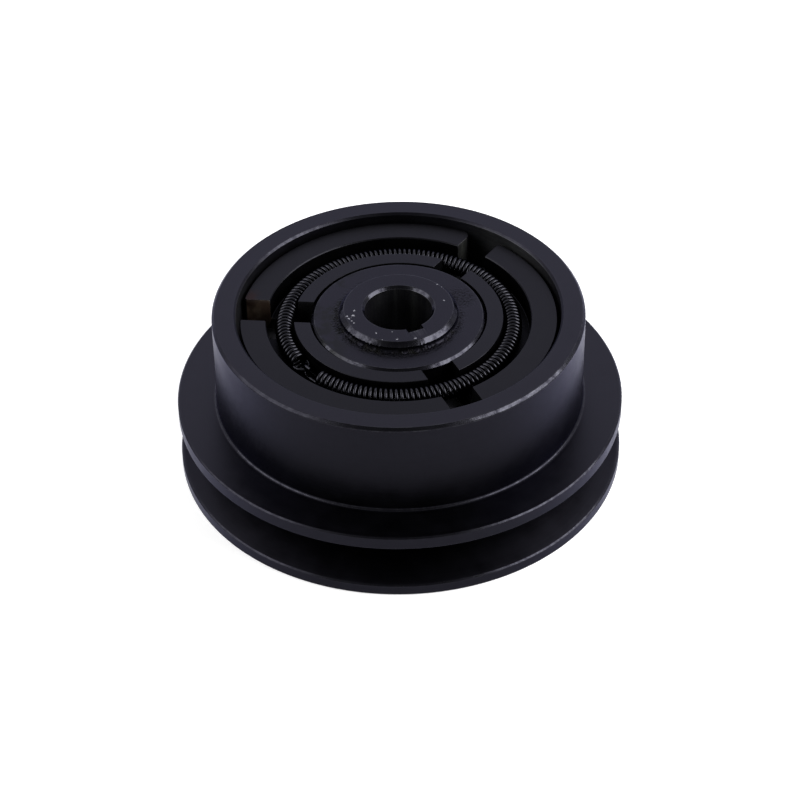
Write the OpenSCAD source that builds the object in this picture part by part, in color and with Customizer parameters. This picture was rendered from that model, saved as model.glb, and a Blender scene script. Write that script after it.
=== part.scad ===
// Centrifugal clutch with a one-groove V-belt sheave.
// The axis is +Z, the origin is on the axis in the plane of the lower face,
// and the open side of the drum, with the shoes, looks up.

/* [Sheave] */
// Outer diameter of both groove flanges
sheave_d = 128.6; // [126:0.2:140]
// Thickness of the lower groove flange at its edge
lower_flange_t = 3.7; // [3:0.1:5]
// Width of the belt groove at its mouth
groove_w = 13.4; // [12.5:0.1:14.5]
// Depth of the belt groove
groove_depth = 12; // [10:0.25:13]
// Included angle of the belt groove
groove_angle = 36; // [32:1:40]
// Thickness of the upper groove flange at its edge
upper_flange_t = 4.2; // [3:0.1:5]
// Chamfer on the sheave's edges
sheave_chamfer = 0.4; // [0.2:0.1:0.8]

/* [Drum] */
// Outer diameter of the drum's wall
drum_d = 105.8; // [102:0.2:110]
// Bore of the drum that the shoes grip
drum_bore_d = 92.2; // [88:0.2:94]
// Height of the drum's rim above the lower face
drum_h = 50.4; // [48:0.2:60]
// Thickness of the land between the cup floor and the circlip groove
floor_land_t = 1.9; // [1.5:0.1:3]
// Rounding of the rim's outer edge
rim_round = 1; // [0.5:0.1:2]
// Chamfer of the rim's inner edge
rim_chamfer = 0.6; // [0.3:0.1:1.2]
// Fillet between the drum's wall and the sheave
root_fillet = 0.9; // [0.5:0.1:2]
// Fillet in the corner of the cup floor
floor_fillet = 0.5; // [0.3:0.1:0.8]

/* [Driver hub] */
// Shaft bore
bore_d = 19.05; // [17:0.05:20]
// Width of the keyway
keyway_w = 4.76; // [4:0.01:6]
// Distance from the axis to the bottom of the keyway
keyway_reach = 11.73; // [11:0.01:12.2]
// Chamfer at both ends of the bore
bore_chamfer = 0.8; // [0.4:0.1:1.2]
// Diameter of the boss on top of the hub
boss_d = 33.6; // [32:0.2:36]
// Height of the boss above the flange
boss_h = 2.85; // [2:0.05:6]
// Chamfer round the top of the boss
boss_chamfer = 1.2; // [0.6:0.1:1.6]
// Fillet at the foot of the boss
boss_fillet = 0.7; // [0.4:0.1:1]
// Diameter of the flange that covers the shoes' inner lips
flange_d = 49.6; // [48:0.2:52]
// Thickness of the flange
flange_t = 6; // [4:0.2:7]
// Depth of the flange's top below the drum's rim
flange_drop = 2.5; // [1:0.1:4]
// Chamfer round the flange
flange_chamfer = 0.8; // [0.4:0.1:1.5]
// Depth of the drive arms' tops below the floor of the spring groove
arm_drop = 3.15; // [1:0.05:7]
// Chamfer on the drive arms' upper edges
arm_chamfer = 0.6; // [0.3:0.1:1]
// Distance that the arms end short of the shoes' outer face
arm_setback = 1.9; // [1:0.1:4]
// Distance that the sleeve ends short of the lower face
sleeve_inset = 0.3; // [0.2:0.05:0.6]

/* [Shoes] */
// Width of the slot between two shoes
slot_w = 9.5; // [8:0.1:12]
// Distance that each shoe travels before it grips the drum
shoe_travel = 0.9; // [0.3:0.05:1.2]
// Depth of the shoes' tops below the drum's rim
shoe_drop = 2.7; // [1.5:0.1:4]
// Thickness of the inner wall, which the garter spring hugs
inner_wall_t = 4.75; // [3.5:0.05:6]
// Width of the spring groove
spring_groove_w = 7.75; // [7:0.05:8.5]
// Rounding of the shoes' outer corners
shoe_corner = 0.6; // [0.3:0.1:2.5]
// Chamfer on the shoes' edges
shoe_chamfer = 0.3; // [0.2:0.05:0.5]

/* [Garter spring] */
// Wire diameter
wire_d = 1; // [0.8:0.05:1.1]
// Outer diameter of the coils
coil_d = 5.4; // [4.6:0.1:5.8]
// Depth of the coils' tops below the shoes' tops
coil_drop = 0.7; // [0.3:0.1:2]
// Number of turns
coil_turns = 137; // [120:1:145]
// Angle from +X to the middle of the hooked joint
joint_angle = 224.4; // [0:0.1:359]
// Length of the joint between the last coils, along the ring
joint_len = 8.9; // [8:0.1:11]

/* [Bearings] */
// Bore of the bearings
bearing_bore = 30; // [28:0.5:31]
// Radial height of each bearing, from its bore to its outer face
bearing_section = 8.5; // [8.2:0.1:9.5]
// Width of each bearing
bearing_w = 9; // [8.6:0.1:10]
// Diameter of each ball
ball_d = 5; // [4.6:0.1:5.2]
// Number of balls in each bearing
ball_count = 14; // [10:1:16]
// Depth of the recess that takes each seal
seal_recess = 1.15; // [1:0.05:1.25]
// Depth of each seal's seat in the land of the outer ring
seal_seat_depth = 0.98; // [0.6:0.02:1.2]
// Thickness of each seal
seal_t = 0.9; // [0.7:0.05:0.95]
// Depth of the groove round each seal's face
seal_groove_depth = 0.32; // [0.2:0.02:0.5]
// Chamfer on the rings' edges
ring_chamfer = 0.4; // [0.2:0.05:0.6]
// Width of the drum's shoulder under the lower outer ring
shoulder_w = 2.2; // [1.8:0.1:2.6]
// Thickness of the drum's shoulder under the lower outer ring
shoulder_t = 3; // [2.6:0.1:5]

/* [Circlips] */
// Thickness of the drum's internal circlip
drum_circlip_t = 1.75; // [1.5:0.05:2]
// Thickness of the hub's external circlip
hub_circlip_t = 1.5; // [1.2:0.05:1.75]
// Radial width of both circlips opposite their ears
circlip_w = 3.3; // [2.8:0.1:3.6]
// Width of the gap between the ears
circlip_gap = 2.4; // [1.5:0.1:4]
// Depth of the drum's circlip groove
drum_groove_depth = 1.25; // [0.8:0.05:1.5]
// Depth of the hub's circlip groove
hub_groove_depth = 0.7; // [0.5:0.05:0.9]
// Plier holes in the circlips' ears
plier_hole_d = 2; // [1.6:0.1:2.2]
// Metal left round each plier hole
ear_rim = 0.9; // [0.7:0.1:1.1]

/* [Clearances] */
// Gap between parts that lie loosely against each other
rest_gap = 0.3; // [0.2:0.05:0.4]
// Gap on each side of a drive arm
arm_gap = 0.25; // [0.15:0.05:0.4]
// Gap left between a gripping shoe and the drum
grip_gap = 0.1; // [0.05:0.01:0.2]
// Radial gap in the bearings' seats
fit_gap = 0.02; // [0.01:0.01:0.05]
// Gap between faces that are stacked along the axis
face_gap = 0.05; // [0.02:0.01:0.1]
// Running gap of balls, cages and seals
running_gap = 0.08; // [0.05:0.01:0.1]
// Gap between the circlips' ears and what turns beside them
ear_gap = 1.2; // [0.8:0.1:1.5]

/* [Hidden] */

$fn = 96;
black_steel = [0.17, 0.17, 0.2];
bright_steel = [0.62, 0.63, 0.66];
seal_rubber = [0.09, 0.09, 0.1];
spring_steel = [0.3, 0.3, 0.34];
cage_plastic = [0.75, 0.66, 0.4];

// The clutch has three shoes, the first one centred on +X.
shoe_pitch = 120;
slot_angle = 60;
// The keyway points into the slot between the last shoe and the first.
keyway_angle = slot_angle + 2 * shoe_pitch;
// Cuts reach this far past the faces that they open.
over = 1;

// Shares of the balls' diameter that bearings of this kind have in common:
// the radius of the races, the distance from the pitch circle to the lands, and
// the height of the cage's prongs above the balls' centres
race_share = 0.52;
land_share = 0.36;
prong_share = 0.3;

// Radii of the bearings, whose rings leave the same gap on both sides of the balls
bearing_r = bearing_bore / 2 + bearing_section;
pitch_r = (bearing_bore + bearing_section) / 2;
race_reach = ball_d / 2 + running_gap;
race_r = race_share * ball_d;
land_gap = land_share * ball_d;
inner_land_r = pitch_r - land_gap;
outer_land_r = pitch_r + land_gap;
seal_seat_r = outer_land_r + seal_seat_depth;
cage_half_w = land_gap / 2;
cage_foot = bearing_w / 2 - seal_recess - 2 * running_gap;
cage_top = prong_share * ball_d;

// Heights above the lower face
lower_bearing_z = shoulder_t + face_gap;
upper_bearing_z = lower_bearing_z + bearing_w + face_gap;
bearing_top_z = upper_bearing_z + bearing_w;
drum_circlip_z = bearing_top_z + face_gap;
drum_groove_top_z = drum_circlip_z + drum_circlip_t + face_gap;
floor_z = drum_groove_top_z + floor_land_t;
hub_circlip_z = lower_bearing_z - face_gap - hub_circlip_t;
groove_mid_z = lower_flange_t + groove_w / 2;
groove_top_z = lower_flange_t + groove_w;
sheave_top_z = groove_top_z + upper_flange_t;
flange_top_z = drum_h - flange_drop;
flange_under_z = flange_top_z - flange_t;
boss_top_z = flange_top_z + boss_h;
shoe_top_z = drum_h - shoe_drop;
shoe_bottom_z = floor_z + rest_gap;
lip_top_z = flange_under_z - rest_gap;
coil_z = shoe_top_z - coil_drop - coil_d / 2;
spring_floor_z = coil_z - coil_d / 2 - rest_gap;
arm_top_z = spring_floor_z - arm_drop;

// Radii and widths of the drum, the hub and the shoes
sheave_r = sheave_d / 2;
groove_root_r = sheave_r - groove_depth;
groove_root_w = groove_w - 2 * groove_depth * tan(groove_angle / 2);
drum_r = drum_d / 2;
drum_bore_r = drum_bore_d / 2;
seat_r = bearing_r + fit_gap;
shoulder_r = bearing_r - shoulder_w;
sleeve_r = bearing_bore / 2 - fit_gap;
core_r = inner_land_r - rest_gap;
flange_r = flange_d / 2;
boss_r = boss_d / 2;
bore_r = bore_d / 2;
shoe_r = drum_bore_r - shoe_travel - grip_gap;
lip_r = core_r + rest_gap;
shoe_inner_r = flange_r + rest_gap;
spring_wall_r = shoe_inner_r + inner_wall_t;
outer_wall_r = spring_wall_r + spring_groove_w;
arm_w = slot_w - 2 * arm_gap;
arm_reach = shoe_r - arm_setback;

// A rectangle of the section, from one radius to another and from one height to another
module band_2d(r0, r1, z0, z1) {
    translate([r0, z0]) square([r1 - r0, z1 - z0]);
}

// A rectangle of the section with a chamfer at each corner
module chamfered_band_2d(r0, r1, z0, z1, chamfer) {
    polygon([
        [r0 + chamfer, z0],
        [r1 - chamfer, z0],
        [r1, z0 + chamfer],
        [r1, z1 - chamfer],
        [r1 - chamfer, z1],
        [r0 + chamfer, z1],
        [r0, z1 - chamfer],
        [r0, z0 + chamfer]
    ]);
}

// What a fillet adds in a corner at the origin that is open towards +X and +Y
module fillet_2d(r) {
    difference() {
        square(r);
        translate([r, r]) circle(r);
    }
}

// What a rounding takes off a corner at the origin whose body lies towards -X and -Y
module rounding_2d(r) {
    difference() {
        translate([-r, -r]) square(r + over);
        translate([-r, -r]) circle(r);
    }
}

// A bar from the axis outwards
module radial_bar(angle, width, reach, z0, z1) {
    rotate(angle) translate([0, -width / 2, z0]) cube([reach, width, z1 - z0]);
}

module drum_section() {
    difference() {
        union() {
            polygon([
                [shoulder_r + sheave_chamfer, 0],
                [sheave_r - sheave_chamfer, 0],
                [sheave_r, sheave_chamfer],
                [sheave_r, lower_flange_t - sheave_chamfer],
                [sheave_r - sheave_chamfer, lower_flange_t],
                [groove_root_r, groove_mid_z - groove_root_w / 2],
                [groove_root_r, groove_mid_z + groove_root_w / 2],
                [sheave_r - sheave_chamfer, groove_top_z],
                [sheave_r, groove_top_z + sheave_chamfer],
                [sheave_r, sheave_top_z - sheave_chamfer],
                [sheave_r - sheave_chamfer, sheave_top_z],
                [drum_r, sheave_top_z],
                [drum_r, drum_h],
                [drum_bore_r + rim_chamfer, drum_h],
                [drum_bore_r, drum_h - rim_chamfer],
                [drum_bore_r, floor_z],
                [shoulder_r, floor_z],
                [shoulder_r, sheave_chamfer]
            ]);
            translate([drum_r, sheave_top_z]) fillet_2d(root_fillet);
            translate([drum_bore_r, floor_z]) mirror([1, 0]) fillet_2d(floor_fillet);
        }
        translate([drum_r, drum_h]) rounding_2d(rim_round);
        band_2d(0, seat_r, shoulder_t, floor_z + over);
        band_2d(0, seat_r + drum_groove_depth, bearing_top_z, drum_groove_top_z);
    }
}

module drum_pulley() {
    color(black_steel) rotate_extrude() drum_section();
}

module hub_section() {
    difference() {
        union() {
            polygon([
                [0, sleeve_inset],
                [sleeve_r - ring_chamfer, sleeve_inset],
                [sleeve_r, sleeve_inset + ring_chamfer],
                [sleeve_r, bearing_top_z + face_gap],
                [core_r, bearing_top_z + face_gap],
                [core_r, flange_under_z],
                [flange_r, flange_under_z],
                [flange_r, flange_top_z - flange_chamfer],
                [flange_r - flange_chamfer, flange_top_z],
                [boss_r, flange_top_z],
                [boss_r, boss_top_z - boss_chamfer],
                [boss_r - boss_chamfer, boss_top_z],
                [0, boss_top_z]
            ]);
            translate([boss_r, flange_top_z]) fillet_2d(boss_fillet);
        }
        band_2d(sleeve_r - hub_groove_depth, sleeve_r + over, hub_circlip_z - face_gap, lower_bearing_z);
    }
}

// A drive arm, which runs from the core into the slot between two shoes
module drive_arm(angle) {
    intersection() {
        rotate(angle) rotate([90, 0, 90]) linear_extrude(drum_r) polygon([
            [-arm_w / 2, shoe_bottom_z],
            [arm_w / 2, shoe_bottom_z],
            [arm_w / 2, arm_top_z - arm_chamfer],
            [arm_w / 2 - arm_chamfer, arm_top_z],
            [arm_chamfer - arm_w / 2, arm_top_z],
            [-arm_w / 2, arm_top_z - arm_chamfer]
        ]);
        cylinder(r = arm_reach, h = drum_h);
    }
}

// The shaft hole, chamfered at both ends, with its keyway
module shaft_hole() {
    rotate_extrude() polygon([
        [0, sleeve_inset - over],
        [bore_r + bore_chamfer + over, sleeve_inset - over],
        [bore_r, sleeve_inset + bore_chamfer],
        [bore_r, boss_top_z - bore_chamfer],
        [bore_r + bore_chamfer + over, boss_top_z + over],
        [0, boss_top_z + over]
    ]);
    radial_bar(keyway_angle, keyway_w, keyway_reach, sleeve_inset - over, boss_top_z + over);
}

module driver_hub() {
    color(black_steel) difference() {
        union() {
            rotate_extrude() hub_section();
            for (i = [0:2]) drive_arm(slot_angle + i * shoe_pitch);
        }
        shaft_hole();
    }
}

// The lip under the hub's flange, the inner wall, the spring groove and the outer wall
module shoe_section() {
    polygon([
        [lip_r, shoe_bottom_z],
        [shoe_r - shoe_chamfer, shoe_bottom_z],
        [shoe_r, shoe_bottom_z + shoe_chamfer],
        [shoe_r, shoe_top_z - shoe_chamfer],
        [shoe_r - shoe_chamfer, shoe_top_z],
        [outer_wall_r + shoe_chamfer, shoe_top_z],
        [outer_wall_r, shoe_top_z - shoe_chamfer],
        [outer_wall_r, spring_floor_z],
        [spring_wall_r, spring_floor_z],
        [spring_wall_r, shoe_top_z - shoe_chamfer],
        [spring_wall_r - shoe_chamfer, shoe_top_z],
        [shoe_inner_r, shoe_top_z],
        [shoe_inner_r, lip_top_z],
        [lip_r, lip_top_z]
    ]);
}

// What the rounding takes off one outer corner of the shoe that is centred on +X.
// The arc touches the slot's wall and the shoe's outer face.
module shoe_corner_cut() {
    across = slot_w / 2 + shoe_corner;
    along = sqrt(pow(shoe_r - shoe_corner, 2) - pow(across, 2));
    far = shoe_r + over;
    rotate(slot_angle) translate([0, 0, shoe_bottom_z - over])
        linear_extrude(shoe_top_z - shoe_bottom_z + 2 * over) difference() {
            polygon([
                [along, -across],
                [far * along, -far * across] / (shoe_r - shoe_corner),
                [far, 0],
                [along, 0]
            ]);
            translate([along, -across]) circle(shoe_corner);
        }
}

module shoe(number) {
    color(black_steel) rotate((number - 1) * shoe_pitch) difference() {
        rotate(-slot_angle) rotate_extrude(angle = shoe_pitch) shoe_section();
        for (side = [-1, 1]) radial_bar(side * slot_angle, slot_w, drum_r, 0, drum_h);
        shoe_corner_cut();
        mirror([0, 1, 0]) shoe_corner_cut();
    }
}

// The garter spring is one wire. Each station along it is a point and the unit
// vector that points away from the middle of the loop there.
ring_r = spring_wall_r + rest_gap + coil_d / 2;
coil_r = (coil_d - wire_d) / 2;
coil_steps = 8;
joint_half = joint_len / 2 / ring_r * 180 / PI;
coil_start = joint_angle + joint_half;
coil_sweep = 360 - 2 * joint_half;
// A quarter turn more than the whole turns leaves the two hooks square to each other.
coil_stations = coil_steps * coil_turns + coil_steps / 4;
hook_steps = 8;
hook_reach = joint_len / 2 + wire_d / 2 + face_gap;
hook_leg = hook_reach - coil_r;
// The wire straightens over the first half of a hook's leg, and its free end comes
// back over this share of it.
hook_lead = hook_leg / 2;
return_share = 0.8;

up = [0, 0, 1];
function outwards(angle) = [cos(angle), sin(angle), 0];
function onwards(angle) = [-sin(angle), cos(angle), 0];
function ring_point(angle) = ring_r * outwards(angle) + coil_z * up;
function ring_angle(start, length) = start + length / ring_r * 180 / PI;

function coil_out(angle, phase) = cos(phase) * outwards(angle) + sin(phase) * up;
function coil_station(i) =
    let (
        angle = coil_start + coil_sweep * i / coil_stations,
        out = coil_out(angle, -90 - 360 * i / coil_steps)
    )
    [ring_point(angle) + coil_r * out, out];

// A station of a hook that leaves the last coil at start, runs along the ring towards
// heading (1 or -1) and bends by turn degrees in the plane of the given coil phase
function hook_station(start, heading, phase, run, turn) =
    let (
        angle = ring_angle(start, heading * (run + coil_r * sin(turn))),
        side = coil_out(angle, phase)
    )
    [
        ring_point(angle) + coil_r * cos(turn) * side,
        cos(turn) * side + heading * sin(turn) * onwards(angle)
    ];
function hook(start, heading, phase) = concat(
    [hook_station(start, heading, phase, hook_lead, 0)],
    [for (i = [0:hook_steps]) hook_station(start, heading, phase, hook_leg, 180 * i / hook_steps)],
    [hook_station(start, heading, phase, (1 - return_share) * hook_leg, 180)]
);
function reversed(list) = [for (i = [len(list) - 1:-1:0]) list[i]];

spring_path = concat(
    reversed(hook(coil_start, -1, -90)),
    [for (i = [0:coil_stations]) coil_station(i)],
    hook(coil_start + coil_sweep, 1, 180)
);

function unit(v) = v / norm(v);
function wire_ring(path, i) =
    let (
        before = path[max(i - 1, 0)][0],
        after = path[min(i + 1, len(path) - 1)][0],
        out = path[i][1],
        side = unit(cross(after - before, out))
    )
    [for (v = [out, side, -out, -side]) path[i][0] + wire_d / 2 * v];

// A wire of square section along the stations of a path, with a closed end at each side
module wire(path) {
    sides = 4;
    last = sides * (len(path) - 1);
    points = [for (i = [0:len(path) - 1]) each wire_ring(path, i)];
    walls = [
        for (i = [0:sides:last - sides], j = [0:sides - 1])
            let (next = (j + 1) % sides)
            each [
                [i + j, i + sides + j, i + sides + next],
                [i + j, i + sides + next, i + next]
            ]
    ];
    polyhedron(points, concat([[0, 1, 2, 3]], walls, [[last + 3, last + 2, last + 1, last]]));
}

module garter_spring() {
    color(spring_steel) wire(spring_path);
}

module bearing_outer_ring(z) {
    color(bright_steel) translate([0, 0, z]) rotate_extrude() difference() {
        chamfered_band_2d(outer_land_r, bearing_r, 0, bearing_w, ring_chamfer);
        translate([pitch_r + race_reach - race_r, bearing_w / 2]) circle(race_r);
        band_2d(0, seal_seat_r, -over, seal_recess);
        band_2d(0, seal_seat_r, bearing_w - seal_recess, bearing_w + over);
    }
}

module bearing_inner_ring(z) {
    color(bright_steel) translate([0, 0, z]) rotate_extrude() difference() {
        chamfered_band_2d(bearing_bore / 2, inner_land_r, 0, bearing_w, ring_chamfer);
        translate([pitch_r - race_reach + race_r, bearing_w / 2]) circle(race_r);
    }
}

// Places one child on the centre of each ball
module at_each_ball() {
    for (i = [0:ball_count - 1])
        rotate(i * 360 / ball_count) translate([pitch_r, 0, 0]) children();
}

module bearing_balls(z) {
    color(bright_steel) translate([0, 0, z + bearing_w / 2]) at_each_ball() sphere(d = ball_d);
}

// A crown cage: a ring under the balls with prongs that rise between them
module bearing_cage(z) {
    color(cage_plastic) translate([0, 0, z + bearing_w / 2]) difference() {
        rotate_extrude() band_2d(pitch_r - cage_half_w, pitch_r + cage_half_w, -cage_foot, cage_top);
        at_each_ball() sphere(r = race_reach);
    }
}

// Section of a seal that is seated upwards against its recess. A groove runs round
// the middle half of its outer face.
module seal_section() {
    inner = inner_land_r + running_gap;
    outer = seal_seat_r - fit_gap;
    face_z = -seal_t - face_gap;
    lip_w = (outer - inner) / 4;
    difference() {
        band_2d(inner, outer, face_z, -face_gap);
        band_2d(inner + lip_w, outer - lip_w, face_z - over, face_z + seal_groove_depth);
    }
}

module bearing_bottom_seal(z) {
    color(seal_rubber) translate([0, 0, z + seal_recess]) rotate_extrude() seal_section();
}

module bearing_top_seal(z) {
    color(seal_rubber) translate([0, 0, z + bearing_w - seal_recess])
        rotate_extrude() mirror([0, 1]) seal_section();
}

// Outline of one ear that grows from the ring at root_r and ends at end_r, on the +Y side of the gap
module ear_2d(root_r, end_r) {
    ear_r = plier_hole_d / 2 + ear_rim;
    across = circlip_gap / 2 + ear_r;
    inwards = end_r < root_r;
    centre = sqrt(pow(inwards ? end_r + ear_r : end_r - ear_r, 2) - pow(across, 2));
    difference() {
        union() {
            translate([min(root_r, centre), circlip_gap / 2])
                square([abs(root_r - centre), 2 * ear_r]);
            translate([centre, across]) circle(ear_r);
        }
        translate([centre, across]) circle(plier_hole_d / 2);
    }
}

// The ring narrows towards the gap by twice this offset of its free edge.
circlip_taper = circlip_w / 4;

module drum_circlip() {
    outer = seat_r + drum_groove_depth - fit_gap;
    free_r = outer - circlip_w + circlip_taper;
    color(bright_steel) translate([0, 0, drum_circlip_z]) linear_extrude(drum_circlip_t)
        difference() {
            intersection() {
                union() {
                    difference() {
                        circle(outer);
                        translate([circlip_taper, 0]) circle(free_r);
                    }
                    ear_2d(outer, core_r + ear_gap);
                    mirror([0, 1]) ear_2d(outer, core_r + ear_gap);
                }
                circle(outer);
            }
            translate([0, -circlip_gap / 2]) square([outer + over, circlip_gap]);
        }
}

module hub_circlip() {
    inner = sleeve_r - hub_groove_depth + fit_gap;
    free_r = inner + circlip_w - circlip_taper;
    color(bright_steel) translate([0, 0, hub_circlip_z]) linear_extrude(hub_circlip_t)
        difference() {
            union() {
                translate([-circlip_taper, 0]) circle(free_r);
                ear_2d(inner, shoulder_r - ear_gap);
                mirror([0, 1]) ear_2d(inner, shoulder_r - ear_gap);
            }
            circle(inner);
            translate([0, -circlip_gap / 2]) square([shoulder_r, circlip_gap]);
        }
}

drum_pulley();
driver_hub();
shoe(1);  // shoe_1
shoe(2);  // shoe_2
shoe(3);  // shoe_3
garter_spring();
bearing_outer_ring(upper_bearing_z);  // upper_bearing_outer_ring
bearing_inner_ring(upper_bearing_z);  // upper_bearing_inner_ring
bearing_balls(upper_bearing_z);  // upper_bearing_balls
bearing_cage(upper_bearing_z);  // upper_bearing_cage
bearing_top_seal(upper_bearing_z);  // upper_bearing_top_seal
bearing_bottom_seal(upper_bearing_z);  // upper_bearing_bottom_seal
bearing_outer_ring(lower_bearing_z);  // lower_bearing_outer_ring
bearing_inner_ring(lower_bearing_z);  // lower_bearing_inner_ring
bearing_balls(lower_bearing_z);  // lower_bearing_balls
bearing_cage(lower_bearing_z);  // lower_bearing_cage
bearing_top_seal(lower_bearing_z);  // lower_bearing_top_seal
bearing_bottom_seal(lower_bearing_z);  // lower_bearing_bottom_seal
drum_circlip();
hub_circlip();
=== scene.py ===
# %% [markdown]
# # A centrifugal clutch with a V-belt sheave
#
# The clutch sits on a small engine's shaft. Its hub turns three shoes, which fly out
# against the drum as the engine speeds up, and a garter spring pulls them back when it
# idles. The drum carries the belt groove and runs on two bearings round the hub.
#
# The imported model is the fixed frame: it gives every size and every joint. Each step
# below makes one piece, or one finish, at the place that the frame gives. Lengths on the
# clutch are written in millimetres, as on a drawing, and turned into metres where a mesh or
# a shader is made. The room around it is measured in metres.

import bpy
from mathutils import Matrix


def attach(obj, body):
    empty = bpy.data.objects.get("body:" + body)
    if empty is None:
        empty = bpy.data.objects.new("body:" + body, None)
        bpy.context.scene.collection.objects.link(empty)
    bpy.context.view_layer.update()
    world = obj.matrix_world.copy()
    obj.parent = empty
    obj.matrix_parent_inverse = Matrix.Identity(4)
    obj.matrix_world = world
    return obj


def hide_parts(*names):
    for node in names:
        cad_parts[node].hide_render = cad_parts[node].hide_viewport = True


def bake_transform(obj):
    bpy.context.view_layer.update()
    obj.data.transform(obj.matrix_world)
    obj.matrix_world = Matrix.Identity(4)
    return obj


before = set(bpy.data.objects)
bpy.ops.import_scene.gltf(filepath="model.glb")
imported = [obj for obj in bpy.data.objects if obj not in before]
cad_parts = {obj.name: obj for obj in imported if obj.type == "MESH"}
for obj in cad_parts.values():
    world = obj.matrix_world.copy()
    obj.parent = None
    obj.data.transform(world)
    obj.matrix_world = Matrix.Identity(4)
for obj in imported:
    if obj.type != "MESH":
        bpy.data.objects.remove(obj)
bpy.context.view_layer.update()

import math

import bmesh
import bpy
from mathutils import Matrix, Vector, noise

MM = 0.001
TURN = 2 * math.pi
print("nodes:", ", ".join(sorted(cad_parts)))

# %% [markdown]
# ## The view
#
# The photograph looks down at the clutch at about 40 degrees with a long lens, and it is
# rolled by a degree. The camera stands on a circle round the axis, so its place follows
# from its distance, its height and its turn round the clutch. Its three own axes, right,
# up and back, become the columns of its matrix. A matrix was chosen over a tracking
# constraint because it holds the roll as well.

# %% Camera
LENS = 114.37
DISTANCE, RISE, ROUND, ROLL = 740.25, math.radians(39.718), math.radians(5.4), math.radians(-0.93)
AIM = Vector((0.022, 0, 16.707))

right = Vector((1, 0, 0))
up = Vector((0, math.sin(RISE), math.cos(RISE)))
back = Vector((0, -math.cos(RISE), math.sin(RISE)))
axes = Matrix((
    right * math.cos(ROLL) + up * math.sin(ROLL),
    up * math.cos(ROLL) - right * math.sin(ROLL),
    back,
)).transposed()
camera = bpy.data.objects.new("camera", bpy.data.cameras.new("camera"))
camera.data.lens = LENS
camera.matrix_world = (
    Matrix.Rotation(ROUND, 4, "Z")
    @ Matrix.Translation((AIM + back * DISTANCE) * MM)
    @ axes.to_4x4()
)
bpy.context.collection.objects.link(camera)
bpy.context.scene.camera = camera
bpy.context.scene.view_settings.view_transform = "Standard"
print("camera at", [round(v, 3) for v in camera.matrix_world.translation])

# %% [markdown]
# ## Making node trees
#
# Shaders and Geometry Nodes are both trees of nodes. A small class keeps the lines that
# build them short: `add` makes a node and fills its inputs, and an input may be a plain
# value or the output of another node, which is then linked.

# %% Helper for node trees
class Tree:
    """Adds nodes to a tree. An input is given by its name or number."""

    def __init__(self, tree):
        self.tree = tree

    def add(self, kind, inputs=None, **settings):
        made = self.tree.nodes.new(kind)
        for name, value in settings.items():
            setattr(made, name, value)
        for key, value in (inputs or {}).items():
            self.fill(made.inputs[key], value)
        return made

    def fill(self, socket, value):
        if isinstance(value, bpy.types.NodeSocket):
            self.tree.links.new(value, socket)
        else:
            socket.default_value = value

    def math(self, operation, *values):
        inputs = dict(enumerate(values))
        return self.add("ShaderNodeMath", inputs, operation=operation).outputs[0]

    def times(self, *values):
        """The product of two or more values."""
        product, *others = values
        for value in others:
            product = self.math("MULTIPLY", product, value)
        return product

    def ramp(self, value, low, high, to_low=0.0, to_high=1.0):
        """Maps low..high to to_low..to_high with soft ends."""
        inputs = {0: value, 1: low, 2: high, 3: to_low, 4: to_high}
        return self.add("ShaderNodeMapRange", inputs, interpolation_type="SMOOTHSTEP").outputs[0]

    def mix(self, factor, a, b):
        inputs = {0: factor, 6: a, 7: b}
        return self.add("ShaderNodeMix", inputs, data_type="RGBA").outputs[2]

    def noise(self, vector, scale, detail=2.0, roughness=0.5):
        inputs = {"Vector": vector, "Scale": scale, "Detail": detail, "Roughness": roughness}
        return self.add("ShaderNodeTexNoise", inputs).outputs[0]

    def sway(self, noise, amount, middle):
        """A value that a noise of 0 to 1 moves up and down about its middle."""
        return self.math("MULTIPLY_ADD", self.math("SUBTRACT", noise, 0.5), amount, middle)

    def vector(self, operation, *values):
        """A vector operation. A distance or a dot product comes out as a plain value."""
        made = self.add("ShaderNodeVectorMath", dict(enumerate(values)), operation=operation)
        return made.outputs["Value" if operation in ("DISTANCE", "DOT_PRODUCT") else "Vector"]

    def place(self):
        """Where a point of the piece is, in the clutch's own axes."""
        return self.add("ShaderNodeTexCoord").outputs["Object"]

    def from_axis(self, place):
        """The distance of a place from the clutch's axis, and its height."""
        x, y, z = self.add("ShaderNodeSeparateXYZ", {0: place}).outputs
        squares = self.math("ADD", self.times(x, x), self.times(y, y))
        return self.math("SQRT", squares), z

    def mark(self, name):
        """An amount that the mesh carries at its points."""
        return self.add("ShaderNodeAttribute", attribute_name=name).outputs["Fac"]


# %% Helper for shader groups
def new_group(name, inputs, outputs):
    """A shader group with named sockets: {name: (kind, default)} in, {name: kind} out."""
    group = bpy.data.node_groups.new(name, "ShaderNodeTree")
    for label, (kind, default) in inputs.items():
        made = group.interface.new_socket(label, in_out="INPUT", socket_type="NodeSocket" + kind)
        made.default_value = default
    for label, kind in outputs.items():
        group.interface.new_socket(label, in_out="OUTPUT", socket_type="NodeSocket" + kind)
    return group, Tree(group)


# %% [markdown]
# ## Floor and light
#
# The clutch stands on a white table, in a white room. A black part shows nothing but
# reflections, so what it reflects is what makes it look round: the pale room gives the
# even sheen on the flat faces, and three softboxes, one at each side and a wide one
# behind, light up the chamfers.
#
# The room is a world colour that the camera and the metal see at full white, while it
# lights dull things only faintly. On the photographer's side it is darker: that shows as
# a dark patch in the middle of the bore's chamfer and keeps the front of every chamfer
# dull. The camera itself never sees the dark side. The floor is a plain pale plane, a hair
# below the clutch, and keeps its soft shadow.

# %% World: a pale room with one dark side
ROOM_LIGHT = 0.12
DARK_SIDE, DARK_SHARE = Vector((0.08, -0.64, 0.77)), 0.75
DARK_FROM, DARK_FULL = 0.72, 0.97  # cosines of the angle to the middle of the dark side


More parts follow.
